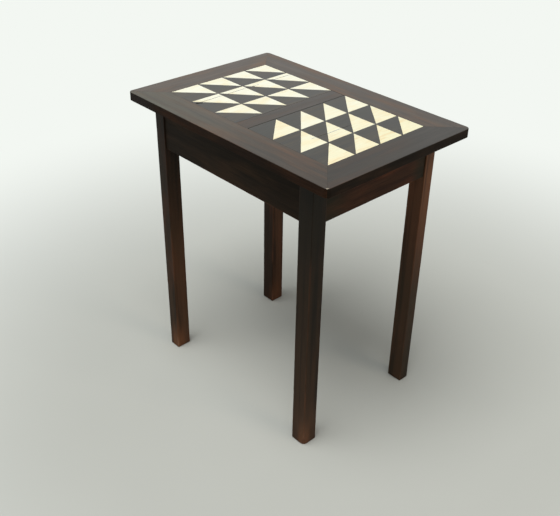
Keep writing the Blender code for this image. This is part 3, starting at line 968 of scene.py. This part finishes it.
def model_field(side):
    low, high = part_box(f"inlay_panel_{side}")
    field = block(f"wooden_inlay_panel_{side}", low, high)
    ease(field, lambda edge: lies_at(edge, 2, high.z), 0.2 * mm, segments=2)
    carve(field, *[pocket_tool(side, node) for node in creams if side in node])
    return field


fields = {f"inlay_panel_{side}": model_field(side) for side in tiles}
for tile in tiles.values():
    bpy.data.objects.remove(tile)
print("dark fields:", {node: len(field.data.polygons) for node, field in fields.items()})

# %% [markdown]
# The board under each field is glued up from strips, and where two strips have moved apart the inlay
# above has cracked along the grain. A crack is cut with a thin blade that follows a slightly wavy line
# and narrows towards its ends. Where a crack meets the sawn edge of a triangle, a crumb is missing
# too, and at the front of the left field a whole bit of filling has dropped out.

# %% Cracks and missing crumbs
crack_depth = 1.3 * mm
left_line = [
    (-0.1489, -0.1345), (-0.1484, -0.107), (-0.1487, -0.064), (-0.1496, -0.010),
    (-0.1490, 0.040), (-0.1500, 0.105), (-0.1499, 0.1345),
]
right_line = [(0.1330, -0.0780), (0.1341, -0.0580), (0.1362, -0.0260), (0.1361, 0.0050), (0.1370, 0.0300)]


def middle_of(line, y):
    """The X of a line of (x, y) points at a Y value."""
    hair = 1e-6
    before = max((point for point in line if point[1] <= y + hair), key=lambda point: point[1])
    after = min((point for point in line if point[1] >= y - hair), key=lambda point: point[1])
    share = 0 if after == before else (y - before[1]) / (after[1] - before[1])
    return before[0] + (after[0] - before[0]) * share


def blade(line, start, end, width):
    """A blade along a line from start to end, through the face, narrow below and at its ends."""
    low, high = (-width / 2, start, face_level - crack_depth), (width / 2, end, face_level + 1 * mm)
    tool = block("blade", low, high)
    rings(tool, 1, start, end, spacing=4 * mm)
    for point in tool.data.vertices:
        y = point.co.y
        share = (y - start) / (end - start)
        middle = middle_of(line, y)
        taper = min(1, 0.25 + 5 * share, 0.25 + 5 * (1 - share))
        wobble = 0.35 * mm * noise.noise(Vector((middle * 50, y / (7 * mm), 0)))
        point.co.x = middle + wobble + point.co.x * taper * (0.4 if point.co.z < face_level else 1)
    return tool


inlay = {**creams, **fields}
cracks = (
    ("inlay_left_2_1", left_line, -0.1345, -0.0610, 1.90 * mm),
    ("inlay_left_2_2", left_line, -0.0560, 0.0040, 1.80 * mm),
    ("inlay_left_2_3", left_line, 0.0150, 0.0420, 1.20 * mm),
    ("inlay_left_2_4", left_line, 0.0760, 0.1345, 1.70 * mm),
    ("inlay_right_2_2", right_line, -0.0600, 0.0060, 1.50 * mm),
    ("inlay_right_2_1", right_line, -0.0770, -0.0640, 1.10 * mm),
    ("inlay_panel_left", left_line, -0.1340, 0.1340, 1.1 * mm),
    ("inlay_panel_right", right_line, -0.0770, 0.0295, 1.4 * mm),
)
for node, *crack in cracks:
    carve(inlay[node], blade(*crack))

crumbs = (
    ("inlay_left_2_2", (-0.1478, -0.0507), (4.2, 1.6, 1.0), 44),
    ("inlay_left_2_3", (-0.1472, 0.0220), (4.2, 1.6, 1.0), 42),
    ("inlay_left_2_4", (-0.1512, 0.0832), (4.2, 1.6, 1.0), 42),
    ("inlay_left_2_4", (-0.1497, 0.1348), (1.6, 1.3, 0.9), 0),
    ("inlay_left_2_1", (-0.1488, -0.0632), (1.3, 1.1, 0.9), 0),
    ("inlay_panel_left", (-0.1480, -0.1300), (5.5, 3.4, 2.0), 50),
    ("inlay_panel_left", (-0.1456, -0.1243), (5.8, 3.1, 2.0), 50),
    ("inlay_panel_right", (0.0192, -0.1345), (1.6, 1.6, 1.2), 0),
)
for node, place, size, turn in crumbs:
    size = [length * mm for length in size]
    carve(inlay[node], stone("crumb", (*place, face_level), size, math.radians(turn)))

for node, piece in creams.items():
    finish_piece(piece, cream_wood, "cream_inlay", node)
for side, wood in dark_wood.items():
    node = f"inlay_panel_{side}"
    finish_piece(fields[node], wood, "charcoal_inlay", node)
print("cracks:", len(cracks), "missing crumbs:", len(crumbs))

# %% [markdown]
# Seen from below, the core board shows the strips that it is glued up from. Each joint between two
# strips is scored as a shallow groove, and two of the joints lie under the cracks of the face. The corner
# blocks and cleats are sawn and screwed up without care, with only their sharp edges taken off.

# %% Core board, corner blocks and cleats
board = merged_copy("core_board", "wooden_core_board")
for joint in (-0.149, -0.054, 0.041, 0.1355):
    low, high = (joint - 0.4 * mm, -1, core_low.z - 1 * mm), (joint + 0.4 * mm, 1, core_low.z + 0.6 * mm)
    carve(board, block("groove", low, high))
finish_piece(board, pine_y, "core_board", "core_board")


def is_sharp_below(edge, level):
    """True for the longer sharp edges of an underside."""
    return lies_at(edge, 2, level) and edge.calc_face_angle(0) > 1 and edge.calc_length() > 5 * mm


fixings = [f"corner_block_{corner}" for corner in leg_wood] + ["cleat_front", "cleat_back"]
for node in fixings:
    piece = merged_copy(node, f"wooden_{node}")
    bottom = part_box(node)[0].z
    ease(piece, lambda edge: is_sharp_below(edge, bottom), 0.7 * mm, segments=2)
    finish_piece(piece, pine_x, "pale_wood", node)

screws = [node for name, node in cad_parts.items() if "screw" in name]
for screw in screws:
    screw.data.materials.clear()
    screw.data.materials.append(screw_steel)
print("underside: core board,", len(fixings), "blocks and cleats,", len(screws), "screws")

# %% [markdown]
# The table stands on a plain pale floor. The floor is a wide disc that passes into the pale backdrop away
# from the table, as the sweep of a studio does, while near the table it keeps the shadow. Backdrop and
# world are bright only for the camera and for reflections, so the polished top mirrors a pale room
# without more light falling on the wood.

# %% Floor and world
backdrop = "#f3f7f2"


def seen_rays(owner):
    """1 for rays from the camera and for mirrored and refracted ones, 0 for the rays that light things."""
    rays = add_node(owner, "LightPath").outputs
    sharp = add_node(owner, "Math", {0: rays["Is Camera Ray"], 1: rays["Is Glossy Ray"]}, operation="MAXIMUM")
    return add_node(owner, "Math", {0: sharp, 1: rays["Is Transmission Ray"]}, operation="MAXIMUM")


def lay_floor():
    close_piece()
    bpy.ops.mesh.primitive_circle_add(vertices=96, radius=9, fill_type="NGON")
    floor = bpy.context.object
    floor.name = "pale_floor"
    finish, coordinates = new_finish("pale_floor_paint")
    middle = (0.12, 0.0, 0.0)
    distance = add_node(finish, "VectorMath", {0: coordinates, 1: middle}, operation="DISTANCE")
    cloud = add_node(finish, "TexNoise", {"Vector": coordinates, "Scale": 1.6, "Detail": 3.0})
    joined_to_shader(finish, {
        "Base Color": coat(finish, linear("#bcbeb7"), "#c3c5be", cloud),
        "Roughness": 0.8, "Specular IOR Level": 0.1,
    })
    far = masked(finish, seen_rays(finish), (distance, 0.50, 1.70))
    pale = add_node(finish, "Emission", {"Color": linear(backdrop), "Strength": 1.0})
    nodes = finish.node_tree.nodes
    mixed = add_node(finish, "MixShader", {0: far, 1: nodes["Principled BSDF"], 2: pale})
    join(finish, mixed, nodes["Material Output"].inputs["Surface"])
    floor.data.materials.append(finish)


def light_world():
    world = bpy.data.worlds.new("pale_studio")
    bpy.context.scene.world = world
    world.use_nodes = True
    world.node_tree.nodes.clear()
    direction = add_node(world, "TexCoord").outputs["Generated"]
    upwards = add_node(world, "SeparateXYZ", {0: direction}).outputs["Z"]
    mirrored = coat(world, linear("#fafbfa"), "#d5d5d0", (upwards, 0.31, 0.46))
    shown = coat(world, mirrored, backdrop, add_node(world, "LightPath").outputs["Is Camera Ray"])
    soft = add_node(world, "Background", {"Color": linear("#eef2f4"), "Strength": 0.36})
    pale = add_node(world, "Background", {"Color": shown, "Strength": 1.0})
    mixed = add_node(world, "MixShader", {0: seen_rays(world), 1: soft, 2: pale})
    add_node(world, "OutputWorld", {"Surface": mixed})


lay_floor()
light_world()
print("floor and world are in place")

# %% [markdown]
# Two soft lamps light the table: a wide softbox high up, a little in front of it, which lays a soft
# shadow under and behind the table, and a smaller warm one on the right that brings out the red of the
# short side. The levels are plain: a colour on top of the table renders about as it is written.

# %% Lamps
def add_softbox(name, place, aim, size, watts, colour):
    close_piece()
    bpy.ops.object.light_add(type="AREA", location=place)
    lamp = bpy.context.object
    lamp.name = name
    lamp.data.shape, lamp.data.size = "DISK", size
    lamp.data.energy, lamp.data.color = watts, linear(colour)[:3]
    lamp.rotation_euler = (Vector(aim) - Vector(place)).to_track_quat("-Z", "Y").to_euler()
    lamp.visible_camera = False


add_softbox("overhead_softbox", (0.2, -2.6, 9.0), (0, 0, 0.5), size=6.5, watts=640, colour="#ffffff")
add_softbox("side_softbox", (4.2, 0.9, 2.2), (0, 0, 0.4), size=2.0, watts=36, colour="#ffeedd")
print("lamps:", len(bpy.data.lights))
